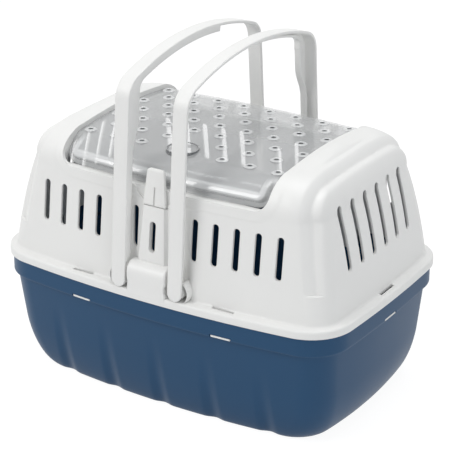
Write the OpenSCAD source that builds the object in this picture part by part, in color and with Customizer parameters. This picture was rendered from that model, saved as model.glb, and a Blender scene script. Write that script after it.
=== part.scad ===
// Small pet carrier: deep tray, vented upper shell, clear hinged roof and two folding hoop handles.
// Origin on the floor under the middle, +Z up, long side along X, latch side towards -Y.

/* [Overall size] */
// Length over the flange between tray and upper shell
shell_l = 400; // [370:5:430]
// Width over the flange
shell_w = 269; // [250:1:290]
// Height from the floor to the crown of the end arches
body_h = 269; // [255:1:285]

/* [Tray] */
// Height of the flange's lower edge above the floor
tray_h = 125; // [110:1:132]
// Height of the tray's collar that shows under the flange
collar_h = 20; // [14:1:26]
// Set-back of the collar's face behind the flange's face
collar_set = 2.7; // [2.4:0.1:3.5]
// Step inwards from the collar to the tray's long walls
collar_step = 5.4; // [4:0.2:8]
// Step inwards from the collar to the tray's end walls
collar_step_end = 3.6; // [3:0.2:6]
// Thickness of the tray's wall
tray_t = 2.5; // [2:0.1:3]
// Thickness of the tray's floor
floor_t = 3; // [2:0.25:4]
// Draft of the tray's long sides
tray_side_draft = 7.2; // [4:0.2:9]
// Draft of the tray's ends
tray_end_draft = 3.8; // [2:0.2:6]
// Height over which the tray's lower edge rounds in
bilge_h = 55; // [40:1:70]
// How far the rounding goes in at the ends
bilge_end = 22; // [14:1:28]
// How far the rounding goes in at the long sides
bilge_side = 8.4; // [6:0.2:12]
// Corner radius of the tray's wall in plan
tray_corner = 34; // [28:1:42]
// Number of flutes along each long side
flute_n = 5; // [3:2:5]
// Distance between flutes
flute_pitch = 60; // [45:1:64]
// Radius of a flute
flute_r = 15; // [11:1:20]
// Depth of a flute at the floor, from the straight line of the wall
flute_depth = 10; // [8.5:0.5:12]
// Height at which a flute has run out
flute_top = 88; // [70:1:98]

/* [Upper shell] */
// Height of the flange's upright face
flange_h = 8.5; // [7:0.5:10]
// Thickness of the flange's skirt, which covers the tray's rim
skirt_t = 2.3; // [1.8:0.1:2.4]
// Depth of the ledge from the flange's face to the wall
ledge_d = 10.5; // [9:0.5:13]
// Thickness of the shell's wall
wall_t = 2.5; // [2:0.1:3]
// Draft of the long walls
side_draft = 6.4; // [4:0.2:8]
// Lean of the end walls at the ledge
end_lean = 5.1; // [3:0.1:7]
// Radius of the end walls' curve, seen from the front
end_curve_r = 450; // [400:10:700]
// Bow of the long sides, middle against ends
side_bow = 16; // [8:0.5:18]
// Bow of the ends, middle against corners
end_bow = 6; // [3:0.5:9]
// Corner radius of the flange in plan
flange_corner = 47; // [38:1:54]
// Corner radius of the wall at the ledge
wall_corner = 26; // [22:1:34]
// Corner radius of the wall at the shoulder
top_corner = 32; // [26:1:38]
// Height of the rounded shoulder between wall and roof
shoulder_h = 35; // [28:1:40]
// How far the shoulder rounds in from the long walls
shoulder_side = 38; // [30:1:44]
// How far the shoulder rounds in from the end walls
shoulder_end = 30; // [22:1:36]
// Rise of the roof's crown above the shoulder
crown_rise = 4; // [2:0.5:6]

/* [Air slots] */
// Number of slots in each long wall
side_slot_n = 13; // [9:2:13]
// Distance between slots of the long walls
side_slot_pitch = 22.5; // [21:0.5:24]
// Width of a slot in the long walls
side_slot_w = 6.8; // [5:0.2:8]
// Height of the slots' lower ends above the floor
side_slot_z = 173; // [165:1:180]
// Length of the slots in the long walls
side_slot_l = 42; // [30:1:48]
// Length of the middle slot, which the latch shortens
mid_slot_l = 31; // [20:1:34]
// Number of slots in each end wall
end_slot_n = 6; // [4:2:6]
// Distance between slots of the end walls
end_slot_pitch = 23.5; // [20:0.5:25]
// Width of a slot in the end walls
end_slot_w = 6; // [5:0.2:8]
// Length of the slots in the end walls
end_slot_l = 63; // [40:1:66]

/* [Roof window and end grooves] */
// Half the length of the roof window
window_hl = 118.5; // [105:0.5:122]
// Drop of the rim that carries the clear roof below the end arches
rim_drop = 33.5; // [29:0.5:37]
// Corner radius of the roof window
window_r = 14; // [8:1:20]
// Width of the rim's shelf under the clear roof
shelf_w = 10; // [8:0.5:14]
// Depth of the web round the window's ends
web_d = 11; // [8:0.5:14]
// Width of the groove between arch and end cap
groove_w = 8; // [5:0.5:10]
// Depth of the groove
groove_d = 2.2; // [1:0.1:3]
// Outer edge of the groove at its lower end
groove_x_low = 159; // [150:1:164]
// Outer edge of the groove at the crown
groove_x_top = 134; // [132:1:140]
// Height of the groove's lower end
groove_z = 165; // [150:1:185]

/* [Clear roof] */
// Drop of the clear roof below the end arches
lid_drop = 4.5; // [3.5:0.25:6]
// Thickness of the clear roof
lid_t = 2; // [1.5:0.1:2.5]
// Gap between the clear roof and the shell
lid_gap = 0.4; // [0.3:0.05:0.8]
// Distance between air holes along the roof
hole_pitch_x = 31; // [28:0.5:34]
// Distance between rows of air holes
hole_pitch_y = 23; // [20:0.5:24]
// Radius of an air hole
hole_r = 2.4; // [1.5:0.1:3]
// Radius of the raised ring round an air hole
bump_r = 6; // [4.5:0.1:7]
// Height of the raised ring
bump_h = 1.2; // [0.5:0.1:2]
// Radius of the finger boss near the latch
boss_r = 17; // [12:0.5:18]
// Distance of the finger boss from the middle
boss_y = 67; // [60:1:70]
// Distance of each roof hinge from the middle
hinge_x = 62; // [50:1:75]
// Radius of the roof hinge's pin
hinge_pin_r = 2.2; // [1.8:0.1:2.4]

/* [Handles] */
// Distance of each handle's pivot from the middle
pivot_x = 32.8; // [31:0.2:36]
// Height of the pivots above the ledge
pivot_up = 8.5; // [8.3:0.1:12]
// Width of the handle's strap
strap_w = 16; // [14:0.5:16.4]
// Thickness of the handle's strap
strap_t = 3; // [2.5:0.1:3.5]
// Height of the grip's crown above the end arches
grip_up = 90; // [85:1:113]
// Lean of the handle's legs towards the middle
leg_lean = 4.43; // [3.5:0.1:5]
// Radius of the grip's arch
grip_r = 320; // [250:10:500]
// Radius of the handle's upper corners
handle_corner = 24; // [20:1:32]
// Depth of the grip's side wall
rib_d = 18.5; // [12:0.5:20]
// Depth of the side wall low on the leg, where it passes the shell
rib_low_d = 9.3; // [6:0.1:9.5]
// Thickness of the side wall and its lip
rib_t = 3; // [2:0.1:3.5]
// Width of the side wall's inner lip
lip_w = 7; // [4:0.5:7.5]
// Where the side wall starts along the grip
rib_start = 60; // [40:1:75]
// Radius of the handle's pivot pins
pivot_pin_r = 4; // [3:0.1:5]
// Running clearance of pins in their bores
pin_clear = 0.06; // [0.03:0.01:0.1]
// Gap between the foot and the hinge block
foot_gap = 4; // [2:0.5:5]
// Height of the hinge block's rounded top above the pivots
block_up = 21; // [16:1:24]

/* [Latch and snap tongues] */
// How far the latch bay stands out of the wall
bay_proud = 3; // [2:0.25:4]
// Half-width of the latch bay at its foot
bay_hw = 18; // [14:0.5:19]
// Half-width of the latch at its hinge
latch_hw = 13; // [10:0.5:15]
// Half-width of the latch at its tip
latch_tip_hw = 9.5; // [7:0.5:12]
// Drop of the latch's hinge below the rim
latch_drop = 16.5; // [12:0.5:20]
// Height of the latch's tip above its hinge
latch_l = 37; // [30:1:40]
// Radius of the scoop round the latch
scoop_r = 27; // [20:1:30]
// Length of a snap tongue
tongue_w = 22; // [16:1:26]
// Thickness of a snap tongue
tongue_t = 2; // [1.5:0.1:2.2]
// Distance of the long sides' snap tongues from the middle
tongue_x = 82; // [70:1:100]

/* [Hidden] */

// Small gaps and overlaps
gap = 0.3;
over = 0.5;
// Thickness of a slice in a stack of outlines
thin = 0.02;
// Facets of a pin or bore
round_fn = 48;

white = "whitesmoke";
blue = "#344f6d";
clear = "lightgray";

rim_z = body_h - rim_drop;
latch_z = rim_z - latch_drop;
ledge_z = tray_h + flange_h;
ledge_t = flange_h - 6;
ledge_under = ledge_z - ledge_t;
shoulder_z = body_h - crown_rise - shoulder_h;
collar_z = tray_h - collar_h;
pivot_z = ledge_z + pivot_up;
handle_h = body_h + grip_up - pivot_z;
// Outer face of a handle's foot
foot_face = shell_w / 2 - 0.8;
// Length of a handle's pin
pin_l = 10;
// Channel for a handle's leg
recess_r = 16;
recess_depth = 8;
block_r = 11;
// Thin curved wall round the outer side of each foot
cup_t = 1.6;
// How far a handle leans inwards until the two meet
lean_in = 6.4;
// Roof hinge
ear_t = 4;
ear_r = hinge_pin_r + 2.8;
barrel_l = 14;
hinge_z = rim_z + 6;
hinge_y = side_at(rim_z) - 7;
// Latch
scoop_d = 1.2;
catch_hw = 6;
nose_up = 31;
nose_d = 1;
boss_h = 2;
// Heights on a handle's leg where its side wall starts, widens and is full, above the pivot
rib_foot = 26;
rib_taper = body_h - pivot_z + 1;
rib_full = body_h - pivot_z + 31;
// Snap tongues
window_h = 3;
tongue_low = collar_z + 0.4;
tongue_root = ledge_under - gap - tongue_t / 2;
tongue_clear = 1.5;
tongue_side_y = shell_w / 2 - collar_set - tray_t - bow_at(tongue_x) - tongue_clear - tongue_t / 2;
tongue_end_x = shell_l / 2 - collar_set - tray_t - gap - 0.2 - tongue_t / 2;

// Half-width and half-length of the shell's wall at a height
function side_at(z) = shell_w / 2 - ledge_d - (z - ledge_z) * tan(side_draft);
function end_at(z) = shell_l / 2 - ledge_d - (z - ledge_z) * tan(end_lean)
                     - pow(z - ledge_z, 2) / (2 * end_curve_r);
// Drop of a long side's bow at a distance from the middle
function bow_at(x) = side_bow * pow(x / (shell_l / 2), 2);
function corner_at(z) = wall_corner + (top_corner - wall_corner) * (z - ledge_z) / (shoulder_z - ledge_z);

// Points on an arc round a centre from one angle to another
function arc(c, r, from, to, n) = [for (i = [0:n]) let (t = from + (to - from) * i / n)
                                   [c[0] + r * cos(t), c[1] + r * sin(t)]];
function flip_x(p) = [for (q = p) [-q[0], q[1]]];
function flip_y(p) = [for (q = p) [q[0], -q[1]]];
function back(p) = [for (i = [len(p) - 1:-1:0]) p[i]];
function but_last(p) = [for (i = [0:len(p) - 2]) p[i]];

// A quarter of a bowed outline: a side arc, a corner arc and an end arc, each tangent to the next
function quarter(a, b, side_sag, end_sag, r) =
    let (side_r = (a * a + side_sag * side_sag) / (2 * side_sag),
         end_r = (b * b + end_sag * end_sag) / (2 * end_sag),
         p = [0, b - side_r], q = [a - end_r, 0],
         d = norm(q - p), u = (q - p) / d,
         t = (pow(side_r - r, 2) - pow(end_r - r, 2) + d * d) / (2 * d),
         h = sqrt(max(pow(side_r - r, 2) - t * t, 0)),
         c = p + u * t + h * [u[1], -u[0]],
         side_end = atan2(c[1] - p[1], c[0] - p[0]),
         end_start = atan2(c[1] - q[1], c[0] - q[0]))
    concat(but_last(arc(p, side_r, 90, side_end, 4)), but_last(arc(c, r, side_end, end_start, 5)),
           arc(q, end_r, end_start, 0, 3));

function outline(a, b, side_sag, end_sag, r) =
    let (q = quarter(a, b, side_sag, end_sag, r))
    concat(but_last(q), but_last(back(flip_y(q))), but_last(flip_x(flip_y(q))), but_last(back(flip_x(q))));

// The flange's outline, moved in by a distance
module flange_outline(in) {
    polygon(outline(shell_l / 2 - in, shell_w / 2 - in, side_bow, end_bow, flange_corner - in));
}

// One slice of the shell's form, with its bows in proportion to its size
module shell_slice(z, a, b, r) {
    share = b / (shell_w / 2);
    translate([0, 0, z])
        linear_extrude(thin)
            polygon(outline(a, b, side_bow * share, end_bow * share, min(r, 0.8 * b)));
}

// The shell's whole form from a height up to its crown, moved in by a distance
module shell_form(z_low, in) {
    side = side_at(shoulder_z) - in;
    end = end_at(shoulder_z) - in;
    rise = shoulder_h - in;
    hull() {
        for (i = [0:4]) {
            z = z_low + (shoulder_z - z_low) * i / 4;
            shell_slice(z, end_at(z) - in, side_at(z) - in, corner_at(z) - in);
        }
        for (phi = [15:15:90])
            shell_slice(shoulder_z + rise * sin(phi), end - (shoulder_end - in) * (1 - cos(phi)),
                        side - (shoulder_side - in) * (1 - cos(phi)), top_corner - in);
        for (share = [0.6, 0.2])
            shell_slice(shoulder_z + rise + crown_rise * (1 - share * share) - thin,
                        end - shoulder_end + in - 4 * (1 - share),
                        share * (side - shoulder_side + in), top_corner - in);
    }
}

// A slot with round ends, its width along X and its length along Z, cut through along Y
module slot_cutter(w, l, across) {
    for (z = [w / 2, l - w / 2])
        translate([0, 0, z])
            rotate([90, 0, 0])
                cylinder(h = across, d = w, center = true, $fn = 24);
    translate([-w / 2, -across / 2, w / 2])
        cube([w, across, l - w]);
}

module side_slots() {
    for (i = [0:side_slot_n - 1]) {
        k = i - (side_slot_n - 1) / 2;
        translate([k * side_slot_pitch, 0, side_slot_z])
            slot_cutter(side_slot_w, k == 0 ? mid_slot_l : side_slot_l, shell_w + 20);
    }
}

module end_slots() {
    for (i = [0:end_slot_n - 1])
        translate([0, (i - (end_slot_n - 1) / 2) * end_slot_pitch, side_slot_z + 1])
            rotate([0, 0, 90])
                slot_cutter(end_slot_w, end_slot_l, shell_l + 20);
}

// The roof window seen from the front, with round lower corners, cut right across
module window_prism(clear_by) {
    hl = window_hl - clear_by;
    z = rim_z + clear_by;
    r = window_r;
    rotate([90, 0, 0])
        linear_extrude(shell_w + 20, center = true) {
            translate([-hl, z + r])
                square([2 * hl, body_h - rim_z]);
            translate([-(hl - r), z])
                square([2 * (hl - r), r + over]);
            for (s = [-1, 1])
                translate([s * (hl - r), z + r])
                    circle(r, $fn = 48);
        }
}

// The slanting band of the groove at each end, seen from the front
module groove_band(in, extra) {
    z_low = groove_z - extra;
    lean = (groove_x_low - groove_x_top) / (body_h - groove_z);
    x_low = groove_x_low + lean * extra;
    x_high = groove_x_top - lean * 10;
    w = groove_w + 2 * in;
    for (end = [0, 180])
        rotate([0, 0, end])
            rotate([90, 0, 0])
                linear_extrude(shell_w + 20, center = true)
                    polygon([[x_low + in - w, z_low], [x_low + in, z_low],
                             [x_high + in, body_h + 10], [x_high + in - w, body_h + 10]]);
}

// Thin plates round the window's ends, where the wall turns down
module web_band() {
    for (s = [-1, 1])
        translate([s * (window_hl + wall_t / 2), 0, body_h])
            cube([wall_t, shell_w + 20, 2 * (body_h - rim_z + wall_t)], center = true);
}

module shell_outside() {
    difference() {
        shell_form(ledge_under, 0);
        groove_band(0, 0);
    }
    shell_form(ledge_under, groove_d);
}

module shell_cavity() {
    difference() {
        shell_form(ledge_under - 8, wall_t);
        groove_band(wall_t, 4);
        web_band();
    }
    difference() {
        shell_form(ledge_under - 8, wall_t + groove_d);
        web_band();
    }
    shell_form(ledge_under - 8, web_d);
}

// Places a child on the front wall and turns a copy to the rear wall
module front_and_rear() {
    children();
    rotate([0, 0, 180])
        children();
}

// Upright channel beside the latch bay, in which a handle's leg stands. It runs out at the shoulder.
module leg_recess(r) {
    foot = side_at(ledge_z) + recess_r - recess_depth;
    top = side_at(shoulder_z) + recess_r;
    run = shoulder_z - ledge_z;
    front_and_rear()
        for (s = [-1, 1])
            translate([s * (pivot_x - 2), -foot, ledge_z])
                rotate([-atan((foot - top) / run), 0, 0])
                    cylinder(h = run + 6, r = r, $fn = 64);
}

module ledge_slots() {
    long_y = side_at(ledge_z) - bow_at(tongue_x) + 2;
    end_x = end_at(ledge_z) + 2;
    for (sx = [-1, 1], sy = [-1, 1])
        translate([sx * tongue_x, sy * long_y, ledge_z])
            cube([tongue_w + 2, 3, 2 * ledge_t + 1], center = true);
    for (s = [-1, 1])
        translate([s * end_x, 0, ledge_z])
            cube([3, tongue_w + 4, 2 * ledge_t + 1], center = true);
}

// Places a child in the leaning plane of the front wall, its height along the wall
module on_front_wall(z) {
    translate([0, -side_at(z), z])
        rotate([90 - side_draft, 0, 0])
            children();
}

// Proud bay in the middle of a long wall, under the latch
module latch_bay() {
    bay_l = (latch_z - ledge_z) / cos(side_draft) - gap;
    on_front_wall(ledge_z)
        translate([0, 0, -wall_t])
            linear_extrude(bay_proud + wall_t)
                polygon([[-bay_hw, 0], [bay_hw, 0], [latch_hw, bay_l], [-latch_hw, bay_l]]);
}

// Shallow round scoop in the wall round the latch, square behind the latch's foot
module latch_scoop() {
    hw = latch_hw + 2 * gap;
    on_front_wall(latch_z)
        translate([0, 0, -scoop_d]) {
            translate([0, scoop_r, 0])
                cylinder(h = 10, r = scoop_r, $fn = 96);
            translate([-hw, -gap, 0])
                cube([2 * hw, scoop_r / 2, 10]);
        }
}

// Block between the two feet, flush with the flange, hollowed round the feet
module hinge_block() {
    hw = pivot_x - strap_w / 2 - gap - block_up * sin(lean_in);
    face = shell_w / 2;
    inner = side_at(pivot_z) - wall_t;
    difference() {
        union() {
            translate([-hw, -face, ledge_under])
                cube([2 * hw, face - inner, pivot_z + block_up - block_r - ledge_under]);
            translate([-hw, -face + block_r, ledge_under])
                cube([2 * hw, face - block_r - inner, pivot_z + block_up - ledge_under]);
            translate([-hw, -face + block_r, pivot_z + block_up - block_r])
                rotate([0, 90, 0])
                    cylinder(h = 2 * hw, r = block_r, $fn = 48);
        }
        for (s = [-1, 1])
            translate([s * pivot_x, -side_at(pivot_z), pivot_z])
                rotate([90, 0, 0])
                    cylinder(h = 40, r = strap_w / 2 + foot_gap, $fn = 48);
    }
}

// Boss behind each foot, which carries the handle's pin and stays clear of the leaning leg
module pivot_boss(s) {
    inner = side_at(ledge_z) - recess_depth - wall_t;
    face = foot_face - strap_t - gap - strap_w / 2 * tan(leg_lean);
    translate([s * pivot_x, -inner, pivot_z])
        rotate([90, 0, 0])
            cylinder(h = face - inner, r = strap_w / 2, $fn = 48);
}

// Curved wall round the outer side of a foot, from the ledge up
module foot_cup(s) {
    r = strap_w / 2 + foot_gap;
    inner = side_at(pivot_z) - 2 * wall_t;
    face = foot_face - strap_t - gap - (r + cup_t) * tan(leg_lean);
    translate([s * pivot_x, -inner, pivot_z])
        rotate([90, 0, 0])
            intersection() {
                difference() {
                    cylinder(h = face - inner, r = r + cup_t, $fn = 64);
                    translate([0, 0, -over])
                        cylinder(h = face - inner + 1, r = r, $fn = 64);
                }
                translate([s > 0 ? strap_w / 4 : -strap_w / 4 - 2 * r, -pivot_up - ledge_t / 2, -over])
                    cube([2 * r, pivot_up + r, face]);
            }
}

module pivot_bore(s) {
    translate([s * pivot_x, -side_at(ledge_z), pivot_z])
        rotate([90, 0, 0])
            cylinder(h = 80, r = pivot_pin_r + pin_clear, center = true, $fn = round_fn);
}

// Places a child at each ear of the roof hinge
module at_ears() {
    for (sx = [-1, 1], s = [-1, 1])
        translate([sx * hinge_x + s * (barrel_l / 2 + gap + ear_t / 2), 0, 0])
            children();
}

// Ears of the roof hinge on the rear rim
module hinge_ears() {
    at_ears()
        difference() {
            union() {
                translate([0, hinge_y, hinge_z])
                    rotate([0, 90, 0])
                        cylinder(h = ear_t, r = ear_r, center = true, $fn = 48);
                translate([-ear_t / 2, hinge_y - ear_r, rim_z - 1])
                    cube([ear_t, 2 * ear_r, hinge_z - rim_z + 1]);
            }
            translate([0, hinge_y, hinge_z])
                rotate([0, 90, 0])
                    cylinder(h = ear_t + 1, r = hinge_pin_r + pin_clear, center = true, $fn = round_fn);
        }
}

// Shelf along the long walls' rims, on which the clear roof lies
module rim_shelf() {
    z = rim_z - wall_t;
    inner = side_at(rim_z) - wall_t - shelf_w;
    intersection() {
        translate([0, 0, z])
            linear_extrude(wall_t)
                polygon(outline(end_at(z) - 1, side_at(z) - 1, side_bow, end_bow, top_corner));
        for (s = [-1, 1])
            translate([0, s * (inner + shelf_w), z])
                cube([2 * (window_hl + wall_t), 2 * shelf_w, 2 * wall_t], center = true);
    }
}

module shell_walls() {
    difference() {
        union() {
            difference() {
                union() {
                    shell_outside();
                    translate([0, 0, tray_h])
                        linear_extrude(flange_h)
                            flange_outline(0);
                }
                shell_cavity();
                translate([0, 0, tray_h - 1])
                    linear_extrude(ledge_under - tray_h + 1)
                        flange_outline(skirt_t);
                window_prism(0);
            }
            intersection() {
                shell_form(ledge_under, 0);
                leg_recess(recess_r + wall_t);
            }
        }
        leg_recess(recess_r);
        latch_scoop();
    }
}

module upper_shell() {
    color(white)
        difference() {
            union() {
                shell_walls();
                rim_shelf();
                hinge_ears();
                front_and_rear() {
                    latch_bay();
                    hinge_block();
                    pivot_boss(-1);
                    pivot_boss(1);
                    foot_cup(-1);
                    foot_cup(1);
                }
            }
            side_slots();
            end_slots();
            ledge_slots();
            front_and_rear()
                for (s = [-1, 1])
                    pivot_bore(s);
        }
}

// Half-width and half-length of the tray's wall at a height, before its lower edge rounds in
function tray_side(z) = shell_w / 2 - collar_set - collar_step - (collar_z - z) * tan(tray_side_draft);
function tray_end(z) = shell_l / 2 - collar_set - collar_step_end - (collar_z - z) * tan(tray_end_draft);

module tray_slice(z, a, b, r) {
    translate([0, 0, z])
        linear_extrude(thin)
            polygon(outline(a, b, side_bow - 2, 2 * end_bow, r));
}

// The tray's form from its floor up to a height, moved in by a distance
module tray_form(in, low, z_high) {
    hull() {
        for (t = [0:18:90]) {
            z = low + (bilge_h - low) * (1 - cos(t));
            tray_slice(z, tray_end(z) - in - (bilge_end - in) * (1 - sin(t)),
                       tray_side(z) - in - (bilge_side - in) * (1 - sin(t)), tray_corner - in);
        }
        tray_slice(z_high - thin, tray_end(z_high) - in, tray_side(z_high) - in, tray_corner - in);
    }
}

module collar_outline(in) {
    flange_outline(collar_set + in);
}

// Flutes along the long sides, deepest at the floor
module flutes(r) {
    out = tray_side(0) - flute_depth + flute_r;
    top_out = tray_side(flute_top) + flute_r;
    lean = atan((top_out - out) / flute_top);
    front_and_rear()
        for (i = [0:flute_n - 1]) {
            x = (i - (flute_n - 1) / 2) * flute_pitch;
            translate([x, -(out - bow_at(x)), 0])
                rotate([lean, 0, 0])
                    translate([0, 0, -20])
                        cylinder(h = flute_top + 20, r = r, $fn = 48);
        }
}

// Windows in the collar's lower edge, through which the snap tongues show
module tongue_windows() {
    low = collar_z - 0.2;
    for (sx = [-1, 1], sy = [-1, 1])
        translate([sx * tongue_x, sy * (shell_w / 2 - collar_set - bow_at(tongue_x)), low + window_h / 2])
            cube([tongue_w + 1.5, 2 * (collar_step + tray_t) + 1, window_h], center = true);
    for (s = [-1, 1])
        translate([s * (shell_l / 2 - collar_set), 0, low + window_h / 2])
            cube([2 * (collar_step + tray_t) + 1, tongue_w + 1.5, window_h], center = true);
}

module base_tray() {
    color(blue)
        difference() {
            union() {
                difference() {
                    union() {
                        tray_form(0, 0, collar_z + over);
                        translate([0, 0, collar_z])
                            linear_extrude(ledge_under - collar_z)
                                collar_outline(0);
                    }
                    tray_form(tray_t, floor_t, collar_z + tray_t + over);
                    translate([0, 0, collar_z + tray_t])
                        linear_extrude(ledge_under - collar_z)
                            collar_outline(tray_t);
                }
                intersection() {
                    tray_form(0, 0, collar_z + over);
                    flutes(flute_r + tray_t);
                }
            }
            flutes(flute_r);
            tongue_windows();
        }
}

// Height of the clear roof's upper face at a distance from its middle line
function lid_top(y) = shoulder_z + shoulder_h - lid_drop
                      + crown_rise * (1 - pow(y / (side_at(shoulder_z) - shoulder_side), 2));

// Calls its child at each air hole of the clear roof, in staggered rows
module at_air_holes() {
    for (row = [-3:3]) {
        shift = row % 2 == 0 ? 0 : 0.5;
        for (k = [-3 - 2 * shift:3]) {
            x = (k + shift) * hole_pitch_x;
            y = row * hole_pitch_y;
            if (norm([x, y + boss_y]) > boss_r + bump_r - 1)
                translate([x, y, lid_top(y)])
                    children();
        }
    }
}

// Barrels of the roof hinge with their pins, half sunk in the roof's rear edge
module lid_barrels() {
    for (s = [-1, 1])
        translate([s * hinge_x, hinge_y, hinge_z])
            rotate([0, 90, 0]) {
                cylinder(h = barrel_l, r = ear_r, center = true, $fn = 48);
                cylinder(h = barrel_l + 2 * (gap + ear_t - over), r = hinge_pin_r, center = true, $fn = round_fn);
            }
}

// Notches in the roof's rear edge, in which the ears stand
module ear_notches() {
    w = ear_t + 2 * gap;
    r = ear_r + 2 * gap;
    at_ears() {
        translate([0, hinge_y, hinge_z])
            rotate([0, 90, 0])
                cylinder(h = w, r = r, center = true, $fn = 48);
        translate([-w / 2, hinge_y - r, rim_z])
            cube([w, 2 * r, hinge_z - rim_z]);
    }
}

module roof_lid() {
    color(clear, 0.5)
        difference() {
            union() {
                difference() {
                    intersection() {
                        difference() {
                            shell_form(shoulder_z - 4, lid_drop);
                            shell_form(shoulder_z - 5, lid_drop + lid_t);
                        }
                        window_prism(lid_gap);
                    }
                    ear_notches();
                }
                at_air_holes()
                    translate([0, 0, -1])
                        cylinder(h = bump_h + 1, r1 = bump_r, r2 = bump_r - 1.5, $fn = 32);
                finger_boss();
                lid_barrels();
                lid_catch();
            }
            at_air_holes()
                cylinder(h = 20, r = hole_r, center = true, $fn = 24);
        }
}

// Raised ring that a finger pulls to open the roof
module finger_boss() {
    sunk = lid_t + 1.6;
    translate([0, -boss_y, lid_top(boss_y) - sunk])
        difference() {
            cylinder(h = boss_h + sunk, r = boss_r, $fn = 64);
            translate([0, 0, -over])
                cylinder(h = boss_h + sunk + 1, r = boss_r - 2, $fn = 64);
        }
}

// Lug on the roof's front edge, under the latch's nose
module lid_catch() {
    outer = side_at(rim_z) - lid_drop;
    translate([-catch_hw, -outer - 1, rim_z + 4])
        cube([2 * catch_hw, 4, 5]);
}

module front_latch() {
    back_y = -scoop_d + 2 * gap;
    t = bay_proud - back_y;
    root = t / 2;
    color(white)
        difference() {
            union() {
                on_front_wall(latch_z) {
                    translate([0, root, back_y])
                        linear_extrude(t)
                            polygon([[-latch_hw, 0], [latch_hw, 0], [latch_tip_hw, latch_l - root],
                                     [-latch_tip_hw, latch_l - root]]);
                    translate([0, root, back_y + root])
                        rotate([0, 90, 0])
                            cylinder(h = 2 * latch_hw, r = root, center = true, $fn = 48);
                    translate([-catch_hw, nose_up, back_y - nose_d])
                        cube([2 * catch_hw, 3, nose_d + over]);
                }
            }
            on_front_wall(latch_z)
                translate([-1, -1, bay_proud - 1.2])
                    cube([2, 20, 3]);
        }
}

// Centre of the handle's upper corner, on a leg's inner side and inside the grip's arch
leg_normal = [cos(leg_lean), sin(leg_lean)];
leg_along = [-sin(leg_lean), cos(leg_lean)];

// The hoop's line moved in by a distance: leg, corner and grip up to an angle past the middle
function hoop_centres() =
    let (p = (foot_face * cos(leg_lean) - handle_corner) * leg_normal, q = [0, handle_h - grip_r],
         b = (p - q) * leg_along, c = (p - q) * (p - q) - pow(grip_r - handle_corner, 2))
    [p + (-b + sqrt(b * b - c)) * leg_along, q];

function hoop_top(in, past) =
    let (c = hoop_centres()[0], q = hoop_centres()[1], turn = atan2(c[1] - q[1], c[0] - q[0]))
    concat(but_last(arc(c, handle_corner - in, leg_lean, turn, 6)), arc(q, grip_r - in, turn, 90 + past, 8));

// A point of a leg at a height above the pivot, moved in by a distance
function leg_point(z, in) = [foot_face - z * tan(leg_lean) - in / cos(leg_lean), z];

function rib_path(less) =
    concat([leg_point(rib_foot, rib_low_d - less), leg_point(rib_taper, rib_low_d - less)],
           [leg_point(rib_full, rib_d - less)],
           hoop_top(rib_d - less, asin(rib_start / (grip_r - rib_d))));

// Extrudes an outline in the plane of the hoop along X from a given place
module across_x(x, w) {
    translate([x, 0, pivot_z])
        rotate([90, 0, 90])
            linear_extrude(w)
                children();
}

module right_handle() {
    x = pivot_x - strap_w / 2;
    outer = concat([leg_point(0, 0)], hoop_top(0, 0));
    inner = concat([leg_point(0, strap_t)], hoop_top(strap_t, 0));
    start = asin(rib_start / (grip_r - rib_d));
    color(white) {
        across_x(x, strap_w)
            polygon(concat(outer, but_first(back(flip_x(outer))), inner_half(inner)));
        across_x(x, rib_t)
            polygon(concat([leg_point(rib_foot - rib_low_d, 1)], hoop_top(1, start), back(rib_path(0))));
        across_x(x, lip_w)
            polygon(concat(rib_path(rib_t), back(rib_path(0))));
        for (s = [-1, 1]) {
            translate([pivot_x, s * (foot_face - strap_t), pivot_z])
                rotate([-90 * s, 0, 0])
                    cylinder(h = strap_t, r = strap_w / 2, $fn = 48);
            translate([pivot_x, s * (foot_face - strap_t + over), pivot_z])
                rotate([90 * s, 0, 0])
                    cylinder(h = pin_l + over, r = pivot_pin_r, $fn = round_fn);
        }
    }
}
function but_first(p) = [for (i = [1:len(p) - 1]) p[i]];
function inner_half(p) = concat(flip_x(p), but_first(back(p)));

module left_handle() {
    rotate([0, 0, 180])
        right_handle();
}

// A snap tongue hangs from the flange into the tray's collar, its rounded root at the top
module tongue() {
    r = tongue_t / 2;
    translate([-tongue_w / 2, -r, tongue_low])
        cube([tongue_w, tongue_t, tongue_root - tongue_low]);
    translate([-tongue_w / 2, 0, tongue_root])
        rotate([0, 90, 0])
            cylinder(h = tongue_w, r = r, $fn = 32);
}

module side_tongue(sx, sy) {
    color(white)
        translate([sx * tongue_x, sy * tongue_side_y, 0])
            tongue();
}

module end_tongue(s) {
    color(white)
        translate([s * tongue_end_x, 0, 0])
            rotate([0, 0, 90])
                tongue();
}

base_tray();
upper_shell();
roof_lid();
front_latch();
left_handle();
right_handle();
side_tongue(-1, -1);  // snap_tongue_front_left
side_tongue(1, -1);  // snap_tongue_front_right
side_tongue(-1, 1);  // snap_tongue_rear_left
side_tongue(1, 1);  // snap_tongue_rear_right
end_tongue(-1);  // snap_tongue_left_end
end_tongue(1);  // snap_tongue_right_end
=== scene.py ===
"""Small pet carrier: smooth moulded shells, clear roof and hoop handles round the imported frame."""

import math

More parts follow.
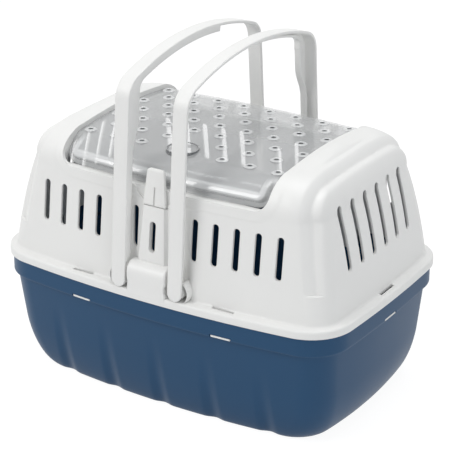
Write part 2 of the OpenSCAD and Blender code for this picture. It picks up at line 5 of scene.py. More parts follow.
import bpy
import bmesh
import numpy as np
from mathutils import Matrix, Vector


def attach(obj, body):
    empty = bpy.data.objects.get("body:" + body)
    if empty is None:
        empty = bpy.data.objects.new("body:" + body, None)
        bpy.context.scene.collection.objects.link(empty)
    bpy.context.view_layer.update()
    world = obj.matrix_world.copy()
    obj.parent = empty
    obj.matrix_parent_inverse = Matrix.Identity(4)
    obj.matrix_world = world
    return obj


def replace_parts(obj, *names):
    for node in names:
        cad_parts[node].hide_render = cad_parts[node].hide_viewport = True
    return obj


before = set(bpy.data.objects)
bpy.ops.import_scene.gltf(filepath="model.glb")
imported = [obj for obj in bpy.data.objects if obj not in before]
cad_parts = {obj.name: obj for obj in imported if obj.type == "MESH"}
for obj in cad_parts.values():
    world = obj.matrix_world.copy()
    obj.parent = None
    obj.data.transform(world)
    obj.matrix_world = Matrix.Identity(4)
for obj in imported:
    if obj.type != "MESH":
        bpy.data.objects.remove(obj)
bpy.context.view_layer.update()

MM = 0.001

# Sizes of the part's source, in millimetres and degrees. Two are nearer to the photo here:
# END_SLOT_W is 6 in the source, and RIB_START is 60.
SHELL_L, SHELL_W, BODY_H = 400.0, 269.0, 269.0
TRAY_H, COLLAR_H, COLLAR_SET, COLLAR_STEP, COLLAR_STEP_END = 125.0, 20.0, 2.7, 5.4, 3.6
TRAY_T, FLOOR_T, SIDE_DRAFT_TRAY, END_DRAFT_TRAY = 2.5, 3.0, 7.2, 3.8
BILGE_H, BILGE_END, BILGE_SIDE, TRAY_CORNER = 55.0, 22.0, 8.4, 34.0
FLUTE_N, FLUTE_PITCH, FLUTE_TOP = 5, 60.0, 92.0
FLANGE_H, SKIRT_T, LEDGE_D, WALL_T = 8.5, 2.3, 10.5, 2.5
SIDE_DRAFT, END_LEAN, END_CURVE_R = 6.4, 5.1, 450.0
SIDE_BOW, END_BOW, FLANGE_CORNER, WALL_CORNER, TOP_CORNER = 16.0, 6.0, 47.0, 26.0, 32.0
SHOULDER_H, SHOULDER_SIDE, SHOULDER_END, CROWN_RISE = 35.0, 38.0, 30.0, 4.0
SLOT_N, SLOT_PITCH, SLOT_W, SLOT_Z, SLOT_L, MID_SLOT_L = 13, 22.5, 6.8, 173.0, 42.0, 31.0
END_SLOT_N, END_SLOT_PITCH, END_SLOT_W, END_SLOT_L = 6, 23.5, 7.2, 63.0
WINDOW_HL, RIM_Z, WINDOW_R, SHELF_W, WEB_D = 118.5, 235.5, 14.0, 10.0, 11.0
LID_DROP, LID_T, LID_GAP = 4.5, 2.0, 0.4
HOLE_PITCH_X, HOLE_PITCH_Y, HOLE_R, BUMP_R, BUMP_H = 31.0, 23.0, 2.4, 6.0, 1.2
BOSS_R, BOSS_Y, HINGE_X, PIN_R = 17.0, 67.0, 62.0, 2.2
PIVOT_X, PIVOT_UP, STRAP_W, STRAP_T = 32.8, 8.5, 16.0, 3.0
LEG_LEAN, GRIP_R, HANDLE_CORNER, RIB_D, RIB_LOW_D = 4.43, 320.0, 24.0, 18.5, 9.3
RIB_T, LIP_W, RIB_START, PIVOT_PIN_R, FOOT_GAP, BLOCK_UP = 3.0, 7.0, 38.0, 4.0, 4.0, 21.0
BAY_PROUD, BAY_HW, LATCH_HW, LATCH_TIP_HW, LATCH_L = 3.0, 18.0, 13.0, 9.5, 37.0
SCOOP_R, SCOOP_D = 27.0, 1.2
TONGUE_W, TONGUE_X = 22.0, 82.0
GAP = 0.3
LEAN_IN = 6.4
BLOCK_R, CUP_T, EAR_T, BARREL_L = 11.0, 1.6, 4.0, 14.0

LEDGE_Z = TRAY_H + FLANGE_H
LEDGE_UNDER = LEDGE_Z - 2.5
SHOULDER_Z = BODY_H - CROWN_RISE - SHOULDER_H
COLLAR_Z = TRAY_H - COLLAR_H
PIVOT_Z = LEDGE_Z + PIVOT_UP
HANDLE_H = BODY_H + 90 - PIVOT_Z
LATCH_Z = RIM_Z - 16.5
FOOT_FACE = SHELL_W / 2 - 0.8
EAR_R = PIN_R + 2.8
HINGE_Z = RIM_Z + 6
RIB_TAPER = BODY_H - PIVOT_Z + 1
RIB_FULL = BODY_H - PIVOT_Z + 31

# Looks that only the scene has
GROOVE_D = 3.8          # depth of the soft groove beside each arch
GROOVE_Z = 163.0        # its lower end
GROOVE_IN, GROOVE_OUT = (161.5, 146.0), (179.0, 160.0)  # its edges at the lower end and at the crown
GROOVE_DIP = 0.64       # share of its width where it is deepest
GRIP_RIB = 8.5          # depth of a hoop's side wall along the grip
CROWN_SPREAD = 12.0     # length over which the crown falls at each end
RIM_BAND, RIM_RISE = 9.5, 0.55  # width and rise of the smooth band round the roof's window
FLUTE_D = 2.5           # depth of a flute in the tray
GUTTER_D = 3.2          # step down along the clear roof's edge
LIP_IN, LIP_OUT, LIP_RISE = 8.0, 14.0, 0.9  # raised lip beside that step, from the window's edge; its band also gets a painted highlight in the roof's material
RECESS_R, RECESS_D = 16.0, 8.0  # round and depth of the channels for the handles' legs
LEDGE_R = 2.2           # rounding of the ledge's edge, and its fillet into the wall
PLAY = 0.06             # room of a pin in its bore
CATCH_H = 2.1           # height of a snap tongue's catch
TIP_R = 3.0             # rounding of the latch's tip
RIB_FOOT, RIB_SET = 17.0, 26.0  # heights above the pivot where a hoop's side wall starts and is full
SHARP_ANGLE = 32        # faces that meet at a sharper angle keep a crisp edge
GRAIN_RELIEF = 0.0004   # height of the grain in the materials, in metres


def tan(deg):
    return math.tan(math.radians(deg))


def sin_cos(deg):
    return math.sin(math.radians(deg)), math.cos(math.radians(deg))


def smooth(t):
    """0 below 0, 1 above 1, and a smooth rise between."""
    t = np.clip(t, 0.0, 1.0)
    return t * t * (3 - 2 * t)


def side_at(z):
    return SHELL_W / 2 - LEDGE_D - (z - LEDGE_Z) * tan(SIDE_DRAFT)


def end_at(z):
    up = z - LEDGE_Z
    return SHELL_L / 2 - LEDGE_D - up * tan(END_LEAN) - up ** 2 / (2 * END_CURVE_R)


HINGE_Y = side_at(RIM_Z) - 7


def bow_at(x):
    return SIDE_BOW * (x / (SHELL_L / 2)) ** 2


def corner_at(z):
    return WALL_CORNER + (TOP_CORNER - WALL_CORNER) * (z - LEDGE_Z) / (SHOULDER_Z - LEDGE_Z)


def arc(c, r, start, end, n):
    a = np.radians(np.linspace(start, end, n + 1))
    return np.stack([c[0] + r * np.cos(a), c[1] + r * np.sin(a)], 1)


def at_height(flat, z):
    """A flat outline as points at one height."""
    return np.column_stack([flat, np.full(len(flat), z)])


# steps along an outline's side, corner and end
FINE, COARSE, TRAY_STEPS, LID_STEPS = (90, 34, 16), (44, 14, 8), (90, 16, 12), (80, 16, 10)


def outline(a, b, side_sag, end_sag, r, steps=COARSE):
    """A closed bowed outline: side, corner and end arcs, each tangent to the next, as rows of x, y."""
    side_r = (a * a + side_sag ** 2) / (2 * side_sag)
    end_r = (b * b + end_sag ** 2) / (2 * end_sag)
    p, q = np.array([0, b - side_r]), np.array([a - end_r, 0])
    d = np.linalg.norm(q - p)
    u = (q - p) / d
    t = ((side_r - r) ** 2 - (end_r - r) ** 2 + d * d) / (2 * d)
    h = math.sqrt(max((side_r - r) ** 2 - t * t, 0))
    c = p + u * t + h * np.array([u[1], -u[0]])
    side_end = math.degrees(math.atan2(c[1] - p[1], c[0] - p[0]))
    end_start = math.degrees(math.atan2(c[1] - q[1], c[0] - q[0]))
    quarter = np.concatenate([arc(p, side_r, 90, side_end, steps[0])[:-1],
                              arc(c, r, side_end, end_start, steps[1])[:-1],
                              arc(q, end_r, end_start, 0, steps[2])])
    low = quarter[::-1] * [1, -1]
    return np.concatenate([part[:-1] for part in (quarter, low, quarter * [-1, -1], low * [-1, -1])])


# ---- mesh helpers

def new_object(name, data):
    made = bpy.data.objects.new(name, data)
    bpy.context.scene.collection.objects.link(made)
    return made


def new_piece(name, verts, faces):
    """A closed mesh from points in millimetres, with its faces turned outwards."""
    mesh = bpy.data.meshes.new(name)
    mesh.from_pydata([tuple(v) for v in np.asarray(verts, float) * MM], [], faces)
    work = bmesh.new()
    work.from_mesh(mesh)
    bmesh.ops.remove_doubles(work, verts=work.verts, dist=1e-7)
    bmesh.ops.recalc_face_normals(work, faces=work.faces)
    work.to_mesh(mesh)
    work.free()
    return new_object(name, mesh)


def loft(name, rings):
    """A skin over rings of equal count, with capped ends."""
    rings = [np.asarray(r, float) for r in rings]
    n, last = len(rings[0]), (len(rings) - 1) * len(rings[0])
    faces = []
    for low in range(0, last, n):
        high = low + n
        faces += [(low + i, low + (i + 1) % n, high + (i + 1) % n, high + i) for i in range(n)]
    faces += [tuple(range(n))[::-1], tuple(range(last, last + n))]
    return new_piece(name, np.concatenate(rings), faces)


def block(name, low, high):
    """A plain box between two corners, as a cutter or a stub."""
    x, y, z = zip(low, high)
    corners = [(x[i], y[j], z[k]) for k in (0, 1) for j in (0, 1) for i in (0, 1)]
    sides = [(0, 2, 3, 1), (4, 5, 7, 6), (0, 1, 5, 4), (2, 6, 7, 3), (0, 4, 6, 2), (1, 3, 7, 5)]
    return new_piece(name, corners, sides)


def block_at(name, centre, half, low, high):
    """A block round a centre in plan, between two heights."""
    (x, y), (a, b) = centre, half
    return block(name, (x - a, y - b, low), (x + a, y + b, high))


def rod(name, start, end, r, r_end=None, n=64):
    """A round rod or cone between two points."""
    start, end = np.array(start, float), np.array(end, float)
    axis = Vector(end - start).normalized()
    u = np.array(axis.orthogonal().normalized())
    v = np.cross(np.array(axis), u)
    a = np.linspace(0, 2 * math.pi, n, endpoint=False)[:, None]
    ring = np.cos(a) * u + np.sin(a) * v
    return loft(name, [start + ring * r, end + ring * (r if r_end is None else r_end)])


def pivot_rod(name, s, start, end, r, n=64):
    """A rod on a handle's pivot line, left or right, between two places across the body."""
    return rod(name, (s * PIVOT_X, start, PIVOT_Z), (s * PIVOT_X, end, PIVOT_Z), r, n=n)


def hinge_rod(name, x, reach, r, n=64):
    """A rod on the roof's hinge line that reaches equally far to both sides of x."""
    return rod(name, (x - reach, HINGE_Y, HINGE_Z), (x + reach, HINGE_Y, HINGE_Z), r, n=n)


def settle(piece):
    """Turns a piece's modifiers into its mesh."""
    graph = bpy.context.evaluated_depsgraph_get()
    made = bpy.data.meshes.new_from_object(piece.evaluated_get(graph))
    old = piece.data
    piece.modifiers.clear()
    piece.data = made
    bpy.data.meshes.remove(old)
    return piece


def combine(piece, operation, *tools):
    """Joins, cuts or intersects a piece with tools, which are used up."""
    for tool in tools:
        modifier = piece.modifiers.new(operation, "BOOLEAN")
        modifier.operation = operation
        modifier.solver = "MANIFOLD"
        modifier.object = tool
        settle(piece)
        bpy.data.objects.remove(tool)
    return piece


def cut(piece, *tools):
    return combine(piece, "DIFFERENCE", *tools)


def add(piece, *tools):
    return combine(piece, "UNION", *tools)


def common(piece, tool):
    return combine(piece, "INTERSECT", tool)


def turned(piece, name):
    """A copy of a piece, half a turn round the upright axis."""
    copy = new_object(name, piece.data.copy())
    co = np.zeros(len(copy.data.vertices) * 3)
    copy.data.vertices.foreach_get("co", co)
    co = co.reshape(-1, 3) * [-1, -1, 1]
    copy.data.vertices.foreach_set("co", co.ravel())
    copy.data.update()
    return copy


def both_sides(piece, operation, tool):
    """Applies a front-side tool, and its copy on the rear side."""
    return combine(piece, operation, tool, turned(tool, tool.name + "_rear"))


def finish_piece(piece, material):
    """Cleans a piece's mesh, and gives it its material and smooth faces."""
    work = bmesh.new()
    work.from_mesh(piece.data)
    bmesh.ops.remove_doubles(work, verts=work.verts, dist=1e-6)
    bmesh.ops.dissolve_degenerate(work, edges=work.edges, dist=1e-6)
    work.to_mesh(piece.data)
    work.free()
    piece.data.validate()
    piece.data.materials.clear()
    piece.data.materials.append(material)
    piece.data.polygons.foreach_set("material_index", [0] * len(piece.data.polygons))
    piece.data.shade_smooth()
    piece.data.set_sharp_from_angle(angle=math.radians(SHARP_ANGLE))
    return piece


# ---- Geometry Nodes that repeat a piece along a row

def wire(tree, *ways):
    """Links nodes, each way given as a node, its output, the next node and its input."""
    for source, output, target, socket in ways:
        tree.links.new(source.outputs[output], target.inputs[socket])


def row_tree():
    """Repeats a piece along a straight row, as one mesh."""
    tree = bpy.data.node_groups.new("Row of equal pieces", "GeometryNodeTree")
    for label, kind in (("Geometry", "Geometry"), ("Piece", "Object"), ("Count", "Int"), ("First", "Vector"),
                        ("Step", "Vector")):
        tree.interface.new_socket(label, in_out="INPUT", socket_type="NodeSocket" + kind)
    tree.interface.new_socket("Geometry", in_out="OUTPUT", socket_type="NodeSocketGeometry")
    start, line, info, place, real, end = (tree.nodes.new(kind) for kind in (
        "NodeGroupInput", "GeometryNodeMeshLine", "GeometryNodeObjectInfo", "GeometryNodeInstanceOnPoints",
        "GeometryNodeRealizeInstances", "NodeGroupOutput"))
    wire(tree, (start, "Count", line, "Count"), (start, "First", line, "Start Location"),
         (start, "Step", line, "Offset"), (start, "Piece", info, "Object"), (line, "Mesh", place, "Points"),
         (info, "Geometry", place, "Instance"), (place, "Instances", real, "Geometry"),
         (real, "Geometry", end, "Geometry"))
    return tree


ROW = row_tree()


def row_of(name, piece, count, first, step):
    """The piece repeated count times from first on, step apart, in millimetres."""
    holder = new_object(name, bpy.data.meshes.new(name))
    modifier = holder.modifiers.new("row", "NODES")
    modifier.node_group = ROW
    values = {"Piece": piece, "Count": count, "First": [c * MM for c in first], "Step": [c * MM for c in step]}
    for item in ROW.interface.items_tree:
        if item.in_out == "INPUT" and item.name in values:
            modifier[item.identifier] = values[item.name]
    bpy.context.view_layer.update()
    settle(holder)
    bpy.data.objects.remove(piece)
    return holder


# ---- the shell's form

def shell_ring(z, a, b, r, steps):
    share = b / (SHELL_W / 2)
    return at_height(outline(a, b, SIDE_BOW * share, END_BOW * share, min(r, 0.8 * b), steps), z)


def form_levels(z_low):
    """Steps up the form: wall heights, then angles over the shoulder, then shares of the crown's half-width."""
    walls = [z for z in np.linspace(z_low, SHOULDER_Z, 36) if abs(z - GROOVE_Z) > 1.2]
    crease = RIM_Z - RIM_BAND
    walls = sorted(walls + [GROOVE_Z - 0.4, GROOVE_Z + 0.4] + [crease + up for up in (-1.9, -1.3, -0.2, 0.3)])
    return ([("wall", z) for z in walls] + [("shoulder", a) for a in np.linspace(3, 90, 30)]
            + [("crown", s) for s in (0.93, 0.86, 0.78, 0.7, 0.6, 0.5, 0.4, 0.3, 0.2, 0.1)])


def form_ring(level, inset, steps=COARSE):
    """One ring of the form, set inwards."""
    kind, value = level
    if kind == "wall":
        return shell_ring(value, end_at(value) - inset, side_at(value) - inset, corner_at(value) - inset, steps)
    side, end, rise = side_at(SHOULDER_Z) - inset, end_at(SHOULDER_Z) - inset, SHOULDER_H - inset
    if kind == "shoulder":
        s, c = sin_cos(value)
        return shell_ring(SHOULDER_Z + rise * s, end - (SHOULDER_END - inset) * (1 - c),
                          side - (SHOULDER_SIDE - inset) * (1 - c), TOP_CORNER - inset, steps)
    return shell_ring(SHOULDER_Z + rise + CROWN_RISE * (1 - value * value) - 0.02,
                      end - SHOULDER_END + inset - CROWN_SPREAD * (1 - value),
                      value * (side - SHOULDER_SIDE + inset), TOP_CORNER - inset, steps)


def groove_depth(p):
    """Depth of the slanting groove beside each arch: a long soft flank and a shorter bright one."""
    x, z = np.abs(p[:, 0]), p[:, 2]
    rise = np.clip((z - GROOVE_Z) / (BODY_H - 3 - GROOVE_Z), 0, 1)
    inner = GROOVE_IN[0] + (GROOVE_IN[1] - GROOVE_IN[0]) * rise
    outer = GROOVE_OUT[0] + (GROOVE_OUT[1] - GROOVE_OUT[0]) * rise
    s = (x - inner) / (outer - inner)
    down, up = np.clip(s / GROOVE_DIP, 0, 1), np.clip((1 - s) / (1 - GROOVE_DIP), 0, 1)
    return GROOVE_D * np.minimum(down, 0.35 * up + 0.65 * smooth(up)) * (z > GROOVE_Z)


def edge_distance(p):
    """Distance from the roof window's edge, seen from the front."""
    x, z = np.abs(p[:, 0]), p[:, 2]
    cx, cz = WINDOW_HL - WINDOW_R, RIM_Z + WINDOW_R
    straight = np.minimum(WINDOW_HL - x, z - RIM_Z)
    corner = WINDOW_R - np.hypot(x - cx, z - cz)
    return np.where((x > cx) & (z < cz), corner, straight)


def rim_rise(p):
    """Rise of the band round the roof's window, which ends in a fine crease."""
    out = -edge_distance(p)
    rise = RIM_RISE * smooth((RIM_BAND + 1.6 - out) / 1.6)
    return rise * smooth((262 - p[:, 2]) / 10) * (np.abs(p[:, 1]) > 60)


def recess_depth(p):
    """Depth of the upright channels in which the handles' legs stand."""
    t = np.abs(np.abs(p[:, 0]) - (PIVOT_X - 2))
    share = (p[:, 2] - LEDGE_Z) / (SHOULDER_Z - LEDGE_Z)
    room = np.sqrt(np.maximum(RECESS_R ** 2 - t * t, 0)) - RECESS_R + RECESS_D * (1 - share)
    soft = 1.6
    depth = 0.5 * (room + np.sqrt(room * room + soft * soft)) - 0.15 * soft
    return np.where(t < RECESS_R + 2, np.maximum(depth, 0), 0) * smooth((SHOULDER_Z + 6 - p[:, 2]) / 12)


def dented(level, inset, steps=COARSE):
    """A ring of the form at an inset, pushed in by the groove and the handles' channels."""
    base, deeper = form_ring(level, inset, steps), form_ring(level, inset + 3, steps)
    outside = form_ring(level, 0, steps)
    push = groove_depth(outside) - (rim_rise(outside) if inset == 0 else 0)
    p = base + (deeper - base) * (push / 3)[:, None]
    if level[0] != "crown":
        p[:, 1] -= np.sign(p[:, 1]) * recess_depth(outside) * (np.abs(outside[:, 0]) < 60)
    return p


def across_body(name, edge, reach):
    """A solid from an outline seen from the front, reaching equally far forwards and back."""
    return loft(name, [[(x, y, z) for x, z in edge] for y in (-reach, reach)])


def window_prism(name, clear_by):
    """The roof window seen from the front, with round lower corners, right across."""
    hl, z, r = WINDOW_HL - clear_by, RIM_Z + clear_by, WINDOW_R
    edge = [(-hl, BODY_H + 12)] + [(-(hl - r) + r * math.cos(a), z + r + r * math.sin(a))
                                   for a in np.radians(np.linspace(180, 270, 13))]
    return across_body(name, edge + [(-x, y) for x, y in edge[::-1]], SHELL_W / 2 + 10)


def slot_cutter(w, l, reach):
    """An upright slot with round ends, right across the body."""
    edge = [(w / 2 * math.cos(a), middle + w / 2 * math.sin(a)) for middle, start in ((w / 2, 180), (l - w / 2, 0))
            for a in np.radians(np.linspace(start, start + 180, 15))]
    return across_body("slot", edge, reach)


def on_front_wall(z, points):
    """Points given as across, up the wall and out of it, set on the leaning front wall."""
    s, c = sin_cos(SIDE_DRAFT)
    return [(u, -side_at(z) + v * s - w * c, z + v * c + w * s) for u, v, w in points]


def on_wall_loft(name, z, outlines):
    return loft(name, [on_front_wall(z, [(u, v, w) for u, v in edge]) for edge, w in outlines])


def make_shell(material):
    """The upper shell: a hollow form, cut and built up feature by feature."""
    def flange(inset, z, steps=COARSE):
        return at_height(outline(SHELL_L / 2 - inset, SHELL_W / 2 - inset, SIDE_BOW, END_BOW,
                                 FLANGE_CORNER - inset, steps), z)

    rings = [flange(0.35, TRAY_H, FINE), flange(0, TRAY_H + 0.35, FINE), flange(0, LEDGE_Z - LEDGE_R, FINE)]
    for a in (30, 60, 90):
        s, c = sin_cos(a)
        rings.append(flange(LEDGE_R * (1 - c), LEDGE_Z - LEDGE_R + LEDGE_R * s, FINE))
    # a small fillet from the ledge into the wall
    for a in (0, 30, 60):
        s, c = sin_cos(a)
        rings.append(dented(("wall", LEDGE_Z + LEDGE_R * (1 - c)), -LEDGE_R * (1 - s), FINE))
    rings += [dented(level, 0, FINE) for level in form_levels(LEDGE_Z + LEDGE_R)]
    shell = loft("shell_outer", rings)
    cut(shell, loft("hollow", [dented(level, WALL_T) for level in form_levels(LEDGE_UNDER - 1)]),
        loft("skirt_room", [flange(SKIRT_T, TRAY_H - 1), flange(SKIRT_T, LEDGE_UNDER)]))
    # plates round the window's ends, where the wall turns down
    for s in (-1, 1):
        plate = loft("web", [form_ring(level, 0.8) for level in form_levels(LEDGE_UNDER)])
        common(plate, block("band", (s * WINDOW_HL - (WALL_T if s < 0 else 0.2), -150, RIM_Z - WALL_T),
                            (s * WINDOW_HL + (WALL_T if s > 0 else 0.2), 150, BODY_H + 5)))
        cut(plate, loft("web_hollow", [form_ring(level, WEB_D) for level in form_levels(LEDGE_UNDER - 1)]))
        add(shell, plate)
    cut(shell, window_prism("window", 0))
    # shelf along the long walls under the clear roof
    z = RIM_Z - WALL_T
    for s in (-1, 1):
        ring = outline(end_at(z) - 1, side_at(z) - 1, SIDE_BOW, END_BOW, TOP_CORNER)
        shelf = loft("shelf", [at_height(ring, z), at_height(ring, RIM_Z)])
        inner = side_at(RIM_Z) - WALL_T - SHELF_W
        common(shelf, block("strip", (-WINDOW_HL - WALL_T, min(s * inner, s * 140), z - 1),
                            (WINDOW_HL + WALL_T, max(s * inner, s * 140), RIM_Z + 1)))
        add(shell, shelf)
    # round scoop behind the latch, the latch's seat and its bay below
    turn = np.linspace(0, 2 * math.pi, 96, endpoint=False)
    circle = [(SCOOP_R * math.cos(a), SCOOP_R + SCOOP_R * math.sin(a)) for a in turn]
    hw = LATCH_HW + 0.6
    square = [(-hw, -GAP), (hw, -GAP), (hw, SCOOP_R / 2), (-hw, SCOOP_R / 2)]
    for name, edge in (("scoop", circle), ("latch_seat", square)):
        both_sides(shell, "DIFFERENCE", on_wall_loft(name, LATCH_Z, [(edge, -SCOOP_D), (edge, 10)]))
    bay_l = (LATCH_Z - LEDGE_Z) / math.cos(math.radians(SIDE_DRAFT)) - GAP
    wide, face, slim = ([(-BAY_HW - e, 0), (BAY_HW + e, 0), (LATCH_HW + e, bay_l), (-LATCH_HW - e, bay_l)]
                        for e in (1, -0.6, -1.2))
    both_sides(shell, "UNION", on_wall_loft("bay", LEDGE_Z, [
        (wide, -WALL_T + 0.4), (wide, 0), (face, BAY_PROUD - 0.8), (slim, BAY_PROUD)]))
    # block between the feet, with a rounded top, hollowed round the feet
    hw = PIVOT_X - STRAP_W / 2 - GAP - BLOCK_UP * math.sin(math.radians(LEAN_IN))
    top, front, inner = PIVOT_Z + BLOCK_UP, -SHELL_W / 2, -side_at(PIVOT_Z) + WALL_T
    edge = [(inner, LEDGE_UNDER), (front, LEDGE_UNDER)]
    edge += [(front + BLOCK_R - BLOCK_R * math.cos(a), top - BLOCK_R + BLOCK_R * math.sin(a))
             for a in np.radians(np.linspace(0, 90, 12))]
    edge += [(inner, top)]
    inset = [(y + (1 if y < front + 5 else 0), z - (1 if z > top - 5 else 0)) for y, z in edge]
    hinge = loft("hinge_block", [[(x, y, z) for y, z in e] for x, e in (
        (-hw, inset), (-hw + 1, edge), (hw - 1, edge), (hw, inset))])
    r = STRAP_W / 2 + FOOT_GAP
    for s in (-1, 1):
        cut(hinge, pivot_rod("foot_room", s, -side_at(PIVOT_Z), -180, r))
    both_sides(shell, "UNION", hinge)
    # bosses behind the feet and the thin cups round them
    lean = tan(LEG_LEAN)
    for s in (-1, 1):
        inner, face = side_at(LEDGE_Z) - RECESS_D - WALL_T, FOOT_FACE - STRAP_T - GAP - STRAP_W / 2 * lean
        both_sides(shell, "UNION", pivot_rod("boss", s, -inner, -face, STRAP_W / 2))
        inner, face = side_at(PIVOT_Z) - 2 * WALL_T, FOOT_FACE - STRAP_T - GAP - (r + CUP_T) * lean
        cup = pivot_rod("cup", s, -inner, -face, r + CUP_T)
        cut(cup, pivot_rod("cup_room", s, -inner + 1, -face - 1, r))
        x = sorted((s * (PIVOT_X + STRAP_W / 4), s * (PIVOT_X + 2 * r)))
        common(cup, block("cup_side", (x[0], -140, LEDGE_Z - 1.2), (x[1], -100, PIVOT_Z + r - 1.2)))
        both_sides(shell, "UNION", cup)
        both_sides(shell, "DIFFERENCE", pivot_rod("bore", s, -100, -150, PIVOT_PIN_R + PLAY))
    # hinge ears on the rear rim
    for sx in (-1, 1):
        for s in (-1, 1):
            x = sx * HINGE_X + s * (BARREL_L / 2 + GAP + EAR_T / 2)
            ear = hinge_rod("ear", x, EAR_T / 2, EAR_R)
            add(ear, block_at("ear_foot", (x, HINGE_Y), (EAR_T / 2, EAR_R), RIM_Z - 1, HINGE_Z))
            cut(ear, hinge_rod("ear_bore", x, EAR_T, PIN_R + PLAY, n=32))
            add(shell, ear)
    # air slots in the long walls and the ends
    half = (SLOT_N - 1) // 2
    for length, count, start in ((SLOT_L, half, -half * SLOT_PITCH), (SLOT_L, half, SLOT_PITCH),
                                 (MID_SLOT_L, 1, 0)):
        slot = slot_cutter(SLOT_W, length, SHELL_W / 2 + 10)
        cut(shell, row_of("side_slots", slot, count, (start, 0, SLOT_Z), (SLOT_PITCH, 0, 0)))
    slot, start = slot_cutter(END_SLOT_W, END_SLOT_L, SHELL_L / 2 + 10), -(END_SLOT_N - 1) / 2 * END_SLOT_PITCH
    for v in slot.data.vertices:
        v.co = (v.co.y, v.co.x, v.co.z)
    slot.data.flip_normals()
    cut(shell, row_of("end_slots", slot, END_SLOT_N, (0, start, SLOT_Z + 1), (0, END_SLOT_PITCH, 0)))
    # slots in the ledge for the snap tongues
    long_y, end_x = side_at(LEDGE_Z) - bow_at(TONGUE_X) + 2, end_at(LEDGE_Z) + 2
    low, high = LEDGE_Z - 4, LEDGE_Z + 3.5
    for sx in (-1, 1):
        for sy in (-1, 1):
            cut(shell, block_at("ledge_slot", (sx * TONGUE_X, sy * long_y), (TONGUE_W / 2 + 1, 1.5), low, high))
        cut(shell, block_at("ledge_slot", (sx * end_x, 0), (1.5, TONGUE_W / 2 + 2), low, high))
    return finish_piece(shell, material)


# ---- the tray

def tray_side(z):
    return SHELL_W / 2 - COLLAR_SET - COLLAR_STEP - (COLLAR_Z - z) * tan(SIDE_DRAFT_TRAY)


def tray_end(z):
    return SHELL_L / 2 - COLLAR_SET - COLLAR_STEP_END - (COLLAR_Z - z) * tan(END_DRAFT_TRAY)


def flute_depth(p):
    """Depth of the soft flutes along the long sides, which run out below the collar."""
    total = np.zeros(len(p))
    for i in range(FLUTE_N):
        x = (i - (FLUTE_N - 1) / 2) * FLUTE_PITCH
        half = 12 - 2.5 * np.clip(p[:, 2] / FLUTE_TOP, 0, 1)
        t = np.clip(np.abs(p[:, 0] - x) / half, 0, 1)
        total += (1 - smooth(t)) * smooth((FLUTE_TOP - p[:, 2]) / 80)
    return FLUTE_D * total * (np.abs(p[:, 0]) < 145)


def tray_ring(z, inset, t=90.0):
    """A ring of the fluted tray. The angle t is the place on the rounding into the floor, 90 above it."""
    s = sin_cos(t)[0]
    p = at_height(outline(tray_end(z) - inset - (BILGE_END - inset) * (1 - s),
                          tray_side(z) - inset - (BILGE_SIDE - inset) * (1 - s),
                          SIDE_BOW - 2, 2 * END_BOW, TRAY_CORNER - inset, TRAY_STEPS), z)
    p[:, 1] -= np.sign(p[:, 1]) * flute_depth(p) * (np.abs(p[:, 1]) > 70)
    return p


def make_tray(material):
    """The tray, as one skin from under the floor over the collar and down to the floor's top."""
    def flat(inset, z):
        return at_height(outline(SHELL_L / 2 - COLLAR_SET - inset, SHELL_W / 2 - COLLAR_SET - inset, SIDE_BOW,
                                 END_BOW, FLANGE_CORNER - COLLAR_SET - inset, TRAY_STEPS), z)

    rings = [tray_ring(BILGE_H * (1 - sin_cos(t)[1]), 0, t) for t in np.linspace(0, 90, 19)]
    rings += [tray_ring(z, 0) for z in np.linspace(BILGE_H + 3, COLLAR_Z - 1.2, 14)]
    rings += [tray_ring(COLLAR_Z - 0.35, -0.35), flat(1.2, COLLAR_Z), flat(0.35, COLLAR_Z + 0.35),
              flat(0, COLLAR_Z + 1.2)]
    rings += [flat(0, z) for z in np.linspace(COLLAR_Z + 3, LEDGE_UNDER, 4)]
    rings += [flat(TRAY_T, LEDGE_UNDER), flat(TRAY_T, COLLAR_Z + TRAY_T)]
    rings += [tray_ring(z, TRAY_T) for z in np.linspace(COLLAR_Z + TRAY_T, BILGE_H + 3, 14)]
    rings += [tray_ring(FLOOR_T + (BILGE_H - FLOOR_T) * (1 - sin_cos(t)[1]), TRAY_T, t)
              for t in np.linspace(90, 0, 17)]
    tray = loft("tray_body", rings)
    # windows in the collar for the snap tongues
    low, reach, half = COLLAR_Z - 0.2, COLLAR_STEP + TRAY_T + 0.5, TONGUE_W / 2 + 0.75
    for sx in (-1, 1):
        for sy in (-1, 1):
            y = sy * (SHELL_W / 2 - COLLAR_SET - bow_at(TONGUE_X))
            cut(tray, block_at("window", (sx * TONGUE_X, y), (half, reach), low, low + 3))
        cut(tray, block_at("window", (sx * (SHELL_L / 2 - COLLAR_SET), 0), (reach, half), low, low + 3))
    return finish_piece(tray, material)


# ---- the clear roof

def lid_top(y):
    share = y / (side_at(SHOULDER_Z) - SHOULDER_SIDE)
    return SHOULDER_Z + SHOULDER_H - LID_DROP + CROWN_RISE * (1 - share ** 2)


def lid_ring(level, inset):
    """A ring of the clear roof, with a gutter along its edge and a raised lip inside that."""
    base, deeper = form_ring(level, inset, LID_STEPS), form_ring(level, inset + 3, LID_STEPS)
    p = form_ring(level, LID_DROP, LID_STEPS)
    d = edge_distance(p)
    gutter, lip = smooth((LIP_IN - 0.6 - d) / 1.6), smooth((d - LIP_IN) / 1.2)
    push = GUTTER_D * gutter - LIP_RISE * lip * smooth((LIP_OUT - d) / 2.0)
    push = push * smooth((RIM_Z + 26 - p[:, 2]) / 8)
    return base + (deeper - base) * (push / 3)[:, None]


def air_holes():
    """The roof's rows of holes, each as its y and a list of x, with room left for the finger boss."""
    for row in range(-3, 4):
        y, shift = row * HOLE_PITCH_Y, 0 if row % 2 == 0 else 0.5
        first = -3 - 2 * shift
        columns = [(first + i + shift) * HOLE_PITCH_X for i in range(int(3 - first) + 1)]
        yield y, [x for x in columns if math.hypot(x, y + BOSS_Y) > BOSS_R + BUMP_R - 1]


